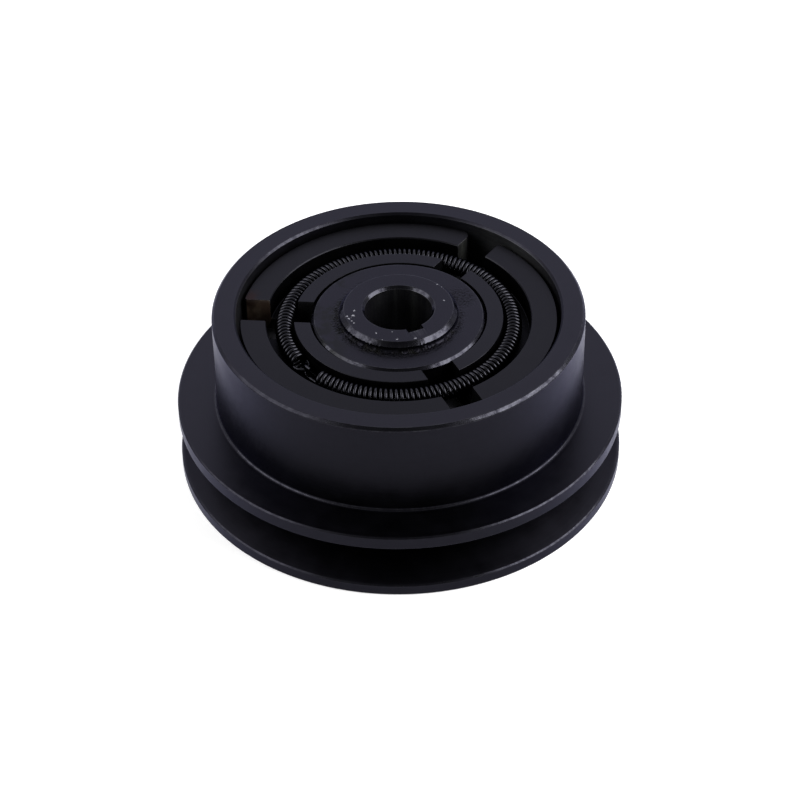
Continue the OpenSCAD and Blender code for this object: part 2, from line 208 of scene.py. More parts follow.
def sees_background(tree):
    """1 for the rays that should see a white room: camera, glossy and transmission rays."""
    path = tree.add("ShaderNodeLightPath").outputs
    seen = tree.math("ADD", path["Is Camera Ray"], path["Is Glossy Ray"])
    return tree.math("MINIMUM", tree.math("ADD", seen, path["Is Transmission Ray"]), 1.0)


world = bpy.data.worlds.new("pale_room")
bpy.context.scene.world = world
world.use_nodes = True
world.node_tree.nodes.clear()
tree = Tree(world.node_tree)
way = tree.vector("NORMALIZE", tree.add("ShaderNodeTexCoord").outputs["Generated"])
towards = tree.vector("DOT_PRODUCT", way, DARK_SIDE.normalized())
shaded = tree.ramp(towards, DARK_FROM, DARK_FULL, 1.0, 1.0 - DARK_SHARE)
shaded = tree.math("MAXIMUM", shaded, tree.add("ShaderNodeLightPath").outputs["Is Camera Ray"])
pale = tree.ramp(sees_background(tree), 0.0, 1.0, ROOM_LIGHT, 1.0)
strength = tree.times(pale, shaded)
room = tree.add("ShaderNodeBackground", {"Color": (1, 1, 1, 1), "Strength": strength})
tree.add("ShaderNodeOutputWorld", {"Surface": room.outputs[0]})
print("world:", world.name)

# %% Floor
FLOOR_SIZE, HAIR = 6.0, 0.05  # m across, and mm below the clutch
FLOOR_COLOR, FLOOR_GLOW = (0.7, 0.7, 0.7, 1), 0.6
floor_finish = bpy.data.materials.new("white_table")
floor_finish.use_nodes = True
floor_finish.node_tree.nodes.clear()
tree = Tree(floor_finish.node_tree)
matt = tree.add("ShaderNodeBsdfDiffuse", {"Color": FLOOR_COLOR})
glow = tree.times(sees_background(tree), FLOOR_GLOW)
glow = tree.add("ShaderNodeEmission", {"Strength": glow})
both = tree.add("ShaderNodeAddShader", {0: matt.outputs[0], 1: glow.outputs[0]})
tree.add("ShaderNodeOutputMaterial", {"Surface": both.outputs[0]})

table = bpy.data.meshes.new("table")
half = FLOOR_SIZE / 2
corners = ((-half, -half), (half, -half), (half, half), (-half, half))
table.from_pydata([(x, y, -HAIR * MM) for x, y in corners], [], [(0, 1, 2, 3)])
table.materials.append(floor_finish)
floor = bpy.data.objects.new("floor", table)
bpy.context.collection.objects.link(floor)
print("floor", FLOOR_SIZE, "m wide")

# %% Softboxes
SOFTBOXES = {
    # name: (azimuth from the camera's side, elevation, distance, width, height, watts), in
    # degrees and metres
    "softbox_left": (-82, 36, 0.7, 0.6, 0.4, 3.5),
    "softbox_right": (78, 36, 0.7, 0.6, 0.4, 7.0),
    "softbox_behind": (180, 42, 1.2, 1.8, 0.9, 6.0),
}


def softbox(name, azimuth, elevation, distance, width, height, watts):
    """An area lamp that faces the clutch. Azimuth 0 is the camera's side."""
    lamp = bpy.data.lights.new(name, "AREA")
    lamp.shape, lamp.size, lamp.size_y, lamp.energy = "RECTANGLE", width, height, watts
    made = bpy.data.objects.new(name, lamp)
    a, e = math.radians(azimuth) + ROUND, math.radians(elevation)
    towards = Vector((math.sin(a) * math.cos(e), -math.cos(a) * math.cos(e), math.sin(e)))
    made.location = towards * distance
    made.rotation_mode = "QUATERNION"
    made.rotation_quaternion = towards.to_track_quat("Z", "Y")
    bpy.context.collection.objects.link(made)


for name, settings in SOFTBOXES.items():
    softbox(name, *settings)
print(len(SOFTBOXES), "softboxes")

# %% [markdown]
# ## Blackened steel
#
# The drum, the hub and the shoes are turned from steel and blackened. Under a satin skin
# the lathe's marks still run round the part, the skin is a little uneven, and it is
# rubbed thin along the edges.
#
# Three node groups make this. The first one, `turned_marks`, looks only at the distance
# from the axis and at the height, so its pattern runs in rings on any turned surface, flat
# or upright. The second one, `black_skin`, adds the mottling and the rubbed edges, which
# it finds through an attribute that the mesh carries on its rounded edges. The third one,
# `browned`, is for what was cut or rubbed bare since: the sawn ends of the shoes, the
# hub's bore and arms, and the drum's inner wall. It looks for the attribute "bare": half is
# a dull grey face, and one is a face that has rusted brown.

# %% Group: turning marks
WANDER = 60.0  # specks per metre of the noise that makes the marks wander
MARKS = (1.0, 3.0, 0.65)  # noise: scale, detail, roughness

group, tree = new_group(
    "turned_marks",
    {"Pitch": ("Float", 0.3), "Wander": ("Float", 0.2)},
    {"Marks": "Float"},
)
given = tree.add("NodeGroupInput").outputs
place = tree.place()
radius, z = tree.from_axis(place)
per_metre = tree.math("DIVIDE", 1 / MM, given["Pitch"])
rings = tree.add("ShaderNodeCombineXYZ", {
    0: tree.times(radius, per_metre),
    1: tree.times(z, per_metre),
    2: tree.times(tree.noise(place, WANDER), given["Wander"]),
}).outputs[0]
tree.add("NodeGroupOutput", {"Marks": tree.noise(rings, *MARKS)})
turned_marks = group

# %% Group: black skin
# noises: (specks per metre, detail, roughness)
CLOUDS, GRAIN, BROKEN = (140.0, 3.0, 0.6), (2600.0, 2.0, 0.6), (420.0, 4.0, 0.7)
CLOUD_SHARE, GRAIN_SHARE, BROKEN_BAND = 0.7, 0.3, (0.3, 0.7)
MARK_SHADE, UNEVEN_ROUGH, MARK_ROUGH, RUB_ROUGH, GRAIN_HEIGHT = 0.35, 0.25, 0.2, -0.3, 0.25

group, tree = new_group(
    "black_skin",
    {
        "Skin": ("Color", (0.02, 0.02, 0.025, 1)),
        "Rubbed": ("Color", (0.1, 0.1, 0.11, 1)),
        "Rub": ("Float", 0.5),
        "Mottle": ("Float", 0.3),
        "Roughness": ("Float", 0.4),
        "Pitch": ("Float", 0.3),
    },
    {"Color": "Color", "Roughness": "Float", "Height": "Float"},
)
given = tree.add("NodeGroupInput").outputs
place = tree.place()
marks = tree.add("ShaderNodeGroup", {"Pitch": given["Pitch"]}, node_tree=turned_marks).outputs["Marks"]
grain = tree.noise(place, *GRAIN)
clouds = tree.times(tree.noise(place, *CLOUDS), CLOUD_SHARE)
uneven = tree.math("ADD", clouds, tree.times(grain, GRAIN_SHARE))
shade = tree.sway(marks, MARK_SHADE, tree.sway(uneven, given["Mottle"], 1.0))
skin = tree.add("ShaderNodeVectorMath", {0: given["Skin"], "Scale": shade}, operation="SCALE")
broken = tree.ramp(tree.noise(place, *BROKEN), *BROKEN_BAND)
rub = tree.times(tree.mark("edge"), broken, given["Rub"])
rough = tree.sway(marks, MARK_ROUGH, tree.sway(uneven, UNEVEN_ROUGH, given["Roughness"]))
tree.add("NodeGroupOutput", {
    "Color": tree.mix(rub, skin.outputs[0], given["Rubbed"]),
    "Roughness": tree.math("MULTIPLY_ADD", rub, RUB_ROUGH, rough),
    "Height": tree.math("MULTIPLY_ADD", grain, GRAIN_HEIGHT, marks),
})
black_skin = group

# %% Group: browned metal
STREAKS, STREAK_BAND = (420.0, 3.0, 0.6), (0.4, 0.65)
SPOTS, SPOT_BAND = (190.0, 3.0, 0.6), (0.36, 0.62)
DARK_GREY, PALE_GREY = (0.008, 0.008, 0.008, 1), (0.024, 0.025, 0.023, 1)
DARK_RUST, PALE_RUST = (0.034, 0.021, 0.015, 1), (0.074, 0.056, 0.040, 1)
CUT, RUSTING, RUSTED = 0.5, 0.6, 1.0  # amounts of "bare"
CUT_METALLIC, BARE_ROUGH = 0.15, 0.25

group, tree = new_group(
    "browned",
    {
        "Color": ("Color", (0.02, 0.02, 0.025, 1)),
        "Roughness": ("Float", 0.4),
        "Stretch": ("Vector", (1.0, 1.0, 1.0)),
    },
    {"Color": "Color", "Metallic": "Float", "Roughness": "Float"},
)
given = tree.add("NodeGroupInput").outputs
place = tree.place()
bare = tree.mark("bare")
streaks = tree.noise(tree.vector("MULTIPLY", place, given["Stretch"]), *STREAKS)
spots = tree.noise(place, *SPOTS)
grey = tree.mix(tree.ramp(streaks, *STREAK_BAND), DARK_GREY, PALE_GREY)
brown = tree.mix(tree.ramp(spots, *SPOT_BAND), DARK_RUST, PALE_RUST)
cut_face = tree.mix(tree.ramp(bare, RUSTING, RUSTED), grey, brown)
tree.add("NodeGroupOutput", {
    "Color": tree.mix(tree.ramp(bare, 0.0, CUT), given["Color"], cut_face),
    "Metallic": tree.ramp(bare, 0.0, CUT, 1.0, CUT_METALLIC),
    "Roughness": tree.math("MULTIPLY_ADD", bare, BARE_ROUGH, given["Roughness"]),
})
browned = group
print("groups:", turned_marks.name, black_skin.name, browned.name)


# %% Helper: a material around one shader
def principled(name, inputs):
    """A material, its tree and its Principled shader, which gets {input: value}."""
    material = bpy.data.materials.new(name)
    material.use_nodes = True
    tree = Tree(material.node_tree)
    shader = material.node_tree.nodes["Principled BSDF"]
    for label, value in inputs.items():
        tree.fill(shader.inputs[label], value)
    return material, tree, shader


# %% A material of blackened steel
EDGE_TINT = (0.74, 0.74, 0.87, 1)
STREAK, QUARTER_TURN = 0.3, 0.25  # the sheen is drawn out across the turning marks
MOTTLE, MARK_DEPTH = 0.5, 0.004
RUBBED_BLUE = 1.2  # how much bluer than grey the rubbed metal is


def blackened(name, skin, roughness, pitch, stretch, rub, rubbed=0.03):
    """Blackened, turned steel. pitch is that of the turning marks, rub how worn the edges are."""
    material, tree, shader = principled(name, {
        "Specular Tint": EDGE_TINT, "Anisotropic": STREAK, "Anisotropic Rotation": QUARTER_TURN,
    })
    cover = tree.add("ShaderNodeGroup", {
        "Skin": (*skin, 1), "Rubbed": (rubbed, rubbed, rubbed * RUBBED_BLUE, 1), "Rub": rub,
        "Mottle": MOTTLE, "Roughness": roughness, "Pitch": pitch,
    }, node_tree=black_skin)
    film = tree.add("ShaderNodeGroup", {
        "Color": cover.outputs["Color"], "Roughness": cover.outputs["Roughness"], "Stretch": stretch,
    }, node_tree=browned)
    for label, output in (("Base Color", "Color"), ("Metallic", "Metallic"), ("Roughness", "Roughness")):
        tree.fill(shader.inputs[label], film.outputs[output])
    tangent = tree.add(
        "ShaderNodeVectorTransform", {0: tree.vector("CROSS_PRODUCT", (0, 0, 1), tree.place())},
        vector_type="VECTOR", convert_from="OBJECT", convert_to="WORLD",
    ).outputs[0]
    tree.fill(shader.inputs["Tangent"], tangent)
    bump = tree.add("ShaderNodeBump", {
        "Strength": 1.0, "Distance": MARK_DEPTH * MM, "Height": cover.outputs["Height"],
    })
    tree.fill(shader.inputs["Normal"], bump.outputs[0])
    return material, tree, shader, film, bump


# %% Finish of the drum
DRUM_SKIN = (0.0104, 0.0101, 0.0135)
RINGS, UPRIGHT = (1.0, 1.0, 9.0), (1.0, 1.0, 0.06)  # how the streaks on bare metal are drawn out
drum_finish, tree, shader, *_ = blackened(
    "drum_black_steel", DRUM_SKIN, 0.36, 0.35, RINGS, rub=0.9, rubbed=0.032
)
print("made", drum_finish.name)

# %% [markdown]
# ## Turned meshes
#
# A turned part is a closed profile, drawn beside the axis and swept once round it. What
# makes it look like metal is that no edge is perfectly sharp: each corner of the profile
# gets its own small rounding, which catches a line of light. The same step marks the
# points on the outward roundings, for the rubbed edges of the skin. Close beside each
# rounding stands one more point, so that the flat faces stay flat in the shading.

# %% Helper: round a profile
APRON = 0.2  # mm from a rounding to the point beside it
CHAMFER = 1.8  # a shorter flat between two roundings is a chamfer, and rubbed like an edge
STRAIGHT = math.radians(89)


def rounded(corners, steps=4):
    """Rounds a closed profile of (radius, height, rounding) corners that runs counter-clockwise.

    Gives (radius, height, edge, corner number) points, with edge 1 on outward roundings.
    """
    points = []
    count = len(corners)
    for i, (r, h, size) in enumerate(corners):
        here = Vector((r, h))
        sides = [Vector(corners[k % count][:2]) - here for k in (i - 1, i + 1)]
        lengths = [side.length for side in sides]
        a, b = (side.normalized() for side in sides)
        half_angle = math.acos(max(-1.0, min(1.0, a.dot(b)))) / 2
        if size == 0 or half_angle > STRAIGHT:
            points.append((r, h, 0.0, i))
            continue
        reach = size / math.tan(half_angle)
        outward = 1.0 if a.x * b.y - a.y * b.x < 0 else 0.0
        centre = here + (a + b).normalized() * size / math.sin(half_angle)
        start = here + a * reach - centre
        swing = (math.pi - 2 * half_angle) * (1 if outward else -1)
        arc = [centre + Matrix.Rotation(swing * k / steps, 2) @ start for k in range(steps + 1)]
        aprons = [
            [(*(here + side * (reach + APRON)), outward if length < CHAMFER else 0.0, i)]
            if length > 3 * (reach + APRON) else []
            for side, length in zip((a, b), lengths)
        ]
        points += aprons[0] + [(*p, outward, i) for p in arc] + aprons[1]
    return points


# %% Helper: make a mesh object
WELD, SHARP = 0.001, math.radians(32)


def point_at(angle, r, h):
    return Vector((r * math.cos(angle), r * math.sin(angle), h))


def new_piece(name, points, faces, marks, material):
    """A welded mesh at the origin, smooth but for its sharp edges. marks: {attribute: values}."""
    mesh = bpy.data.meshes.new(name)
    mesh.from_pydata([p * MM for p in points], [], faces)
    for label, values in marks.items():
        mesh.attributes.new(label, "FLOAT", "POINT").data.foreach_set("value", values)
    work = bmesh.new()
    work.from_mesh(mesh)
    bmesh.ops.remove_doubles(work, verts=work.verts, dist=WELD * MM)
    bmesh.ops.recalc_face_normals(work, faces=work.faces)
    for face in work.faces:
        face.smooth = True
    for edge in work.edges:
        edge.smooth = edge.calc_face_angle(0) < SHARP
    work.to_mesh(mesh)
    work.free()
    mesh.materials.append(material)
    made = bpy.data.objects.new(name, mesh)
    bpy.context.collection.objects.link(made)
    print(name, len(mesh.vertices), "points,", len(mesh.polygons), "faces")
    return made


def strips(rows, columns, rows_close=True):
    """Quads between the points of a grid that is numbered row by row. Its columns close."""
    faces = []
    for i in range(rows if rows_close else rows - 1):
        for j in range(columns):
            a, b = i * columns, (i + 1) % rows * columns
            k = (j + 1) % columns
            faces.append((a + j, a + k, b + k, b + j))
    return faces


# %% [markdown]
# ## Drum and sheave
#
# The drum is one turned piece: the cup that the shoes grip, the V groove for the belt
# round its foot, and the seat for two bearings inside. Its profile repeats the sizes of
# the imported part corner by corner, with a rounding for each edge.

# %% Drum sizes
SHEAVE_R, SHEAVE_CHAMFER = 64.3, 0.4
LOWER_FLANGE, GROOVE_W, UPPER_FLANGE = 3.7, 13.4, 4.2
GROOVE_ROOT_R, GROOVE_ANGLE, GROOVE_FILLET = 52.3, math.radians(36), 0.3
DRUM_R, DRUM_BORE_R, DRUM_H = 52.9, 46.1, 50.4
RIM_BEVEL, RIM_CHAMFER, ROOT_FILLET, FLOOR_FILLET = 0.75, 0.6, 0.9, 0.5
FLOOR_Z, SEAT_R, SEAT_Z, SHOULDER_R = 24.85, 23.52, 3.0, 21.3
CLIP_GROOVE_R, CLIP_GROOVE_LOW, CLIP_GROOVE_HIGH = 24.77, 21.1, 22.95
BREAK, RIM_ROUND, RIM_TOP_ROUND = 0.12, 0.4, 0.25

groove_mid = LOWER_FLANGE + GROOVE_W / 2
groove_top = LOWER_FLANGE + GROOVE_W
sheave_top = groove_top + UPPER_FLANGE
mouth_r = SHEAVE_R - SHEAVE_CHAMFER
root_half = GROOVE_W / 2 - (SHEAVE_R - GROOVE_ROOT_R) * math.tan(GROOVE_ANGLE / 2)
print("the groove is %.2f mm wide at its root" % (2 * root_half))

# %% [markdown]
# The skin isn't worn alike all round, and part of that is painted light. The rim's outer edge
# is rubbed most at the right, which paints the pale band of highlight there, and its inner
# edge at the back left, which paints a highlight line. The bore's wall is barer, so paler,
# beside two of the slots than at the back: painted light and shade. In the groove the sheen is
# dimmed to a dark tint, as painted shade.

# %% Painted shade in the groove
V_GROOVE_SHADE_TINT = (0.42, 0.42, 0.46, 1)
FADE_OUT, FADE_IN, MOUTH_FADE = 0.1, 0.3, 0.5
away, z = tree.from_axis(tree.place())
above_lower = tree.ramp(z, (LOWER_FLANGE - FADE_OUT) * MM, (LOWER_FLANGE + FADE_IN) * MM)
under_upper = tree.ramp(z, (groove_top + FADE_OUT) * MM, (groove_top - FADE_IN) * MM)
inside_mouth = tree.ramp(away, mouth_r * MM, (mouth_r - MOUTH_FADE) * MM)
groove_shade_mask = tree.times(above_lower, under_upper, inside_mouth)
# The groove's sheen is dimmed to a dark tint: painted shade between the flanges.
tree.fill(shader.inputs["Specular Tint"], tree.mix(groove_shade_mask, EDGE_TINT, V_GROOVE_SHADE_TINT))

# %% Drum profile
drum_corners = [
    (SHOULDER_R + SHEAVE_CHAMFER, 0, BREAK),
    (mouth_r, 0, BREAK),
    (SHEAVE_R, SHEAVE_CHAMFER, BREAK),
    (SHEAVE_R, LOWER_FLANGE - SHEAVE_CHAMFER, BREAK),
    (mouth_r, LOWER_FLANGE, BREAK),
    (GROOVE_ROOT_R, groove_mid - root_half, GROOVE_FILLET),
    (GROOVE_ROOT_R, groove_mid + root_half, GROOVE_FILLET),
    (mouth_r, groove_top, BREAK),
    (SHEAVE_R, groove_top + SHEAVE_CHAMFER, BREAK),
    (SHEAVE_R, sheave_top - SHEAVE_CHAMFER, BREAK),
    (mouth_r, sheave_top, BREAK),
    (DRUM_R, sheave_top, ROOT_FILLET),
    (DRUM_R, DRUM_H - RIM_BEVEL, RIM_ROUND),
    (DRUM_R - RIM_BEVEL, DRUM_H, RIM_TOP_ROUND),
    (DRUM_BORE_R + RIM_CHAMFER, DRUM_H, BREAK),
    (DRUM_BORE_R, DRUM_H - RIM_CHAMFER, BREAK),
    (DRUM_BORE_R, FLOOR_Z, FLOOR_FILLET),
    (SEAT_R, FLOOR_Z, BREAK),
    (SEAT_R, CLIP_GROOVE_HIGH, 0),
    (CLIP_GROOVE_R, CLIP_GROOVE_HIGH, 0),
    (CLIP_GROOVE_R, CLIP_GROOVE_LOW, 0),
    (SEAT_R, CLIP_GROOVE_LOW, 0),
    (SEAT_R, SEAT_Z, 0),
    (SHOULDER_R, SEAT_Z, BREAK),
    (SHOULDER_R, SHEAVE_CHAMFER, BREAK),
]
profile = rounded(drum_corners, steps=6)
print("drum:", len(drum_corners), "corners,", len(profile), "points")


# %% Wear of the drum
def amount_at(angle, all_round, *spots):
    """An amount that is the same all round but for spots of (middle, width, more) in degrees."""
    gaps = [(math.degrees(angle) - middle + 180) % 360 - 180 for middle, _, _ in spots]
    extra = [more * math.exp(-(gap / width) ** 2) for gap, (_, width, more) in zip(gaps, spots)]
    return all_round + sum(extra)


FOOT, RIM_OUTSIDE, RIM_INSIDE = 11, (12, 13), (14, 15)
EDGE_WEAR_AND_GLINTS = {
    # corners of the profile: how far they are rubbed, with two painted highlights on the rim
    **dict.fromkeys(range(FOOT), (0.28, (-30, 50, 0.3))),
    FOOT: (0.45,),
    # the rim's outer edge is rubbed paler at the right: real wear, and a painted highlight band
    **dict.fromkeys(RIM_OUTSIDE, (0.15, (-42, 60, 0.8))),
    # the rim's inner edge is rubbed paler at the back left: a painted highlight line
    **dict.fromkeys(RIM_INSIDE, (0.15, (132, 22, 0.4))),
}
OTHER_WEAR = (0.2,)
# The bore's wall is a little bare all round, and barer, so paler, beside the slots at 180 and 45 degrees
# than at the back. That contrast is painted light and shade.
WALL_BARE_AND_LIGHT = (0.08, (180, 25, 0.17), (45, 26, 0.3))
print("rim rubbed at the right: %.2f" % amount_at(math.radians(-42), *EDGE_WEAR_AND_GLINTS[RIM_OUTSIDE[0]]))

# %% Drum mesh
DRUM_SIDES = 400
FILLET_ENDS, ON_WALL = 0.02, 0.05
turns = [TURN * j / DRUM_SIDES for j in range(DRUM_SIDES)]
points, drum_wear_and_glints, drum_bare_and_light = [], [], []
for r, h, edge, corner in profile:
    if corner == FOOT and FILLET_ENDS < r - DRUM_R < ROOT_FILLET - FILLET_ENDS:
        edge = 1.0
    on_wall = r < DRUM_BORE_R + ON_WALL and h > FLOOR_Z
    points += [point_at(angle, r, h) for angle in turns]
    drum_wear_and_glints += [edge * amount_at(angle, *EDGE_WEAR_AND_GLINTS.get(corner, OTHER_WEAR)) for angle in turns]
    drum_bare_and_light += [amount_at(angle, *WALL_BARE_AND_LIGHT) if on_wall else 0.0 for angle in turns]
drum = new_piece(
    "drum_with_sheave", points, strips(len(profile), DRUM_SIDES),
    {"edge": drum_wear_and_glints, "bare": drum_bare_and_light}, drum_finish,
)

# %% [markdown]
# ## Driver hub
#
# The hub is turned too, but three drive arms stand out of it into the slots between the
# shoes, and a keyway is cut along its bore. Both could be made with booleans, which leave
# long thin faces that shade badly. Here every ring of the mesh has the same number of
# points instead, and some rings simply leave the circle: the rings at the arms run out
# round each arm, and the rings of the bore run round the keyway.
#
# Round the foot of the boss the real hub is rough and torn, and beside it, at the right,
# a patch of the flange is scuffed. That is real shape, so the rings there are close
# together and are pushed about by noise.

# %% Hub sizes
BORE_R, BORE_CHAMFER, KEY_HALF, KEY_REACH, KEY_ANGLE = 9.525, 0.8, 2.38, 11.73, 300
BOSS_R, BOSS_CHAMFER, BOSS_FILLET, BOSS_Z, BOSS_ROUND = 16.8, 1.2, 0.7, 50.75, 0.2
FLANGE_R, FLANGE_CHAMFER, FLANGE_TOP, FLANGE_UNDER, FLANGE_ROUND = 24.8, 0.8, 47.9, 41.9, 0.15
SLEEVE_R, SLEEVE_Z, SLEEVE_CHAMFER, SLEEVE_BREAK = 14.98, 0.3, 0.4, 0.08
CORE_R, CORE_Z, CORE_FILLET = 17.15, 21.15, 0.3
HUB_GROOVE_R, HUB_GROOVE_LOW, HUB_GROOVE_HIGH = 14.28, 1.45, 3.05
ARM_HALF, ARM_REACH, ARM_LOW, ARM_HIGH, ARM_CHAMFER, ARM_BREAK = 4.5, 43.2, 25.15, 38.15, 0.6, 0.2
ARM_ANGLES = (60, 180, 300)

hub_corners = [
    ("bore", BORE_R + BORE_CHAMFER, SLEEVE_Z, SLEEVE_BREAK),
    ("disc", SLEEVE_R - SLEEVE_CHAMFER, SLEEVE_Z, SLEEVE_BREAK),
    ("disc", SLEEVE_R, SLEEVE_Z + SLEEVE_CHAMFER, SLEEVE_BREAK),
    ("disc", SLEEVE_R, HUB_GROOVE_LOW, 0),
    ("disc", HUB_GROOVE_R, HUB_GROOVE_LOW, 0),
    ("disc", HUB_GROOVE_R, HUB_GROOVE_HIGH, 0),
    ("disc", SLEEVE_R, HUB_GROOVE_HIGH, 0),
    ("disc", SLEEVE_R, CORE_Z, 0),
    ("disc", CORE_R, CORE_Z, BREAK),
    ("disc", CORE_R, FLANGE_UNDER, CORE_FILLET),
    ("disc", FLANGE_R, FLANGE_UNDER, BREAK),
    ("disc", FLANGE_R, FLANGE_TOP - FLANGE_CHAMFER, FLANGE_ROUND),
    ("disc", FLANGE_R - FLANGE_CHAMFER, FLANGE_TOP, FLANGE_ROUND),
    ("disc", BOSS_R, FLANGE_TOP, BOSS_FILLET),
    ("disc", BOSS_R, BOSS_Z - BOSS_CHAMFER, BOSS_ROUND),
    ("disc", BOSS_R - BOSS_CHAMFER, BOSS_Z, BOSS_ROUND),
    ("bore", BORE_R + BORE_CHAMFER, BOSS_Z, BREAK),
    ("bore", BORE_R, BOSS_Z - BORE_CHAMFER, BREAK),
    ("bore", BORE_R, SLEEVE_Z + BORE_CHAMFER, SLEEVE_BREAK),
]
print("hub:", len(hub_corners), "corners")

# %% Rings of the hub
ARM_POINTS, WALL_POINTS, BETWEEN_POINTS = 44, 12, 116
ARM_SPAN, CLEAR_SPAN = math.radians(15.2), math.radians(15.7)


def spread(low, high, count):
    """Values at equal steps from low to high."""
    return [low + (high - low) * k / (count - 1) for k in range(count)]


def disc_ring(r):
    """Angles and radii of a plain ring, with its points gathered where the arms are."""
    return [
        (math.radians(middle) + offset, r)
        for middle in ARM_ANGLES
        for offset in spread(-ARM_SPAN, ARM_SPAN, ARM_POINTS)
        + spread(CLEAR_SPAN, TURN / 3 - CLEAR_SPAN, BETWEEN_POINTS)
    ]


def tab(r, half_width, reach, flat_end):
    """Points that leave a circle, run round a bar along +X and come back to the circle."""
    end = reach if flat_end else math.sqrt(reach ** 2 - half_width ** 2)
    wall = spread(math.sqrt(r * r - half_width ** 2), end, WALL_POINTS)
    across = spread(-half_width, half_width, ARM_POINTS - 2 * WALL_POINTS + 2)[1:-1]
    tip = [(reach if flat_end else math.sqrt(reach ** 2 - v * v), v) for v in across]
    points = [(u, -half_width) for u in wall] + tip + [(u, half_width) for u in reversed(wall)]
    return [(math.atan2(v, u), math.hypot(u, v)) for u, v in points]


def tabbed_ring(r, tabs, half_width, reach, flat_end):
    """A ring that runs round a bar at each of the angles in tabs."""
    ring = disc_ring(r)
    width = len(ring) // len(ARM_ANGLES)
    for number, middle in enumerate(ARM_ANGLES):
        if middle in tabs:
            bar = tab(r, half_width, reach, flat_end)
            for k, (offset, away) in enumerate(bar):
                ring[number * width + k] = (math.radians(middle) + offset, away)
    return ring


print("points in a ring:", len(disc_ring(1)))
print("points in a tab:", len(tab(CORE_R, ARM_HALF, ARM_REACH, False)), "of", ARM_POINTS)

# %% Roughness at the foot of the boss
STAINED_IN, TORN_IN, TORN_OUT, TORN_STEPS = 15.6, 16.7, 23.2, 34
TORN_MIDDLE, TORN_WIDTH, TORN_RISE, FRONT_RISE = 0.5, 2.5, 1.8, 1.2
SMOOTH_BACK, BACK_SHARE, FRONT_SHARE = math.radians(78), 0.15, 0.85
PATCH_SCALE, PATCH_MIDDLE, PATCH_SWAY = 0.3, 0.75, 1.1
SCUFFED, SCUFF_R, SCUFF = Vector((16.8, 9.2, 0)), 6.2, 0.3
TORN_DEPTH, LUMP_SCALE, INWARDS = 0.5, 1.9, 0.25
LUMPS = (0.7, 2.2, 4)  # fractal: dimension, lacunarity, octaves


def share(value):
    """A value held between 0 and 1."""
    return max(0.0, min(1.0, value))


def torn(angle, r, h):
    """How badly the skin is torn at a place on top of the hub, from 0 to 1."""
    place = point_at(angle, r, 0)
    towards_front = 0.5 - 0.5 * math.cos(angle - SMOOTH_BACK)
    beside = share(1 - abs(r - BOSS_R - TORN_MIDDLE) / TORN_WIDTH)
    above = max(0.0, 1 - (h - FLANGE_TOP) / (TORN_RISE + FRONT_RISE * towards_front ** 6))
    patch = share(PATCH_MIDDLE + PATCH_SWAY * noise.noise(place * PATCH_SCALE))
    scuff = SCUFF * share(2 - 2 * (place - SCUFFED).length / SCUFF_R)
    return above * max(patch * beside * (BACK_SHARE + FRONT_SHARE * towards_front), scuff)


def lump(angle, r, h):
    """How far a torn place stands out, in mm. Most of the tears go inwards."""
    return TORN_DEPTH * (noise.fractal(point_at(angle, r, h) * LUMP_SCALE, *LUMPS) - INWARDS)


scuffed_at = math.atan2(SCUFFED.y, SCUFFED.x)
print("scuffed in the middle of the patch: %.2f" % torn(scuffed_at, SCUFFED.length, FLANGE_TOP))

# %% The hub's rings in order
NEAR = 0.1  # mm within which a point counts as on a face
ARM_EDGE = 0.3
ARM_RINGS = (
    # (how much narrower the arm is there, height)
    (ARM_BREAK, ARM_LOW),
    (0, ARM_LOW + ARM_BREAK),
    (0, ARM_HIGH - ARM_CHAMFER),
    (ARM_CHAMFER, ARM_HIGH),
)
profile = rounded([corner[1:] for corner in hub_corners])
kinds = [corner[0] for corner in hub_corners]
rings = []


def add_ring(ring, h, edge, in_bore=False):
    """Adds a ring at a height, with how rubbed it is and whether it is on the bore's wall."""
    rings.append(([(angle, r, h) for angle, r in ring], edge, in_bore))


for number, (r, h, edge, corner) in enumerate(profile):
    if kinds[corner] == "bore":
        add_ring(tabbed_ring(r, (KEY_ANGLE,), KEY_HALF, KEY_REACH, True), h, edge, r < BORE_R + NEAR)
    else:
        add_ring(disc_ring(r), h, edge)
    next_r, next_h = profile[(number + 1) % len(profile)][:2]
    if h < ARM_LOW and next_h > ARM_HIGH:
        add_ring(disc_ring(CORE_R), ARM_LOW, 0)
        for shrunk, z in ARM_RINGS:
            add_ring(tabbed_ring(CORE_R, ARM_ANGLES, ARM_HALF - shrunk, ARM_REACH, False), z, ARM_EDGE)
        add_ring(disc_ring(CORE_R), ARM_HIGH, 0)
    if abs(h - FLANGE_TOP) < NEAR and r > TORN_OUT > next_r:
        for away in spread(TORN_OUT, BOSS_R + BOSS_FILLET + APRON + NEAR, TORN_STEPS):
            add_ring(disc_ring(away), FLANGE_TOP, 0)
print("rings in the hub:", len(rings))

# %% Points of the hub, and how worn each is
BORE_BARE, ARM_BARE = (0.2, (68, 7, 0.1), (122, 9, 0.05), (100, 4, 0.06)), 0.3
points, edges, bares, tears = [], [], [], []
for ring, edge, in_bore in rings:
    for angle, r, h in ring:
        on_top = STAINED_IN < r < TORN_OUT and h > FLANGE_TOP - NEAR
        tear = torn(angle, r, h) if on_top else 0.0
        push = tear * lump(angle, r, h) if r > TORN_IN else 0.0
        if h < FLANGE_TOP + BOSS_FILLET:
            h += push
        else:
            r += push
        points.append(point_at(angle, r, h))
        edges.append(edge)
        on_arm = r > CORE_R + NEAR and ARM_LOW - NEAR < h < ARM_HIGH + NEAR
        bares.append(amount_at(angle, *BORE_BARE) if in_bore else ARM_BARE if on_arm else 0.0)
        tears.append(tear)
print("worst tear: %.2f" % max(tears))

# %% [markdown]
# The hub's finish is the black skin with three marks of its own. Where it is torn the skin
# is darker, rougher and full of small pits. At the left of the flange it is cloudy. On top
# of the boss a few flakes have chipped off down to bright metal; their places were read
# from the photograph, and each is a small disc whose outline is broken up by noise.

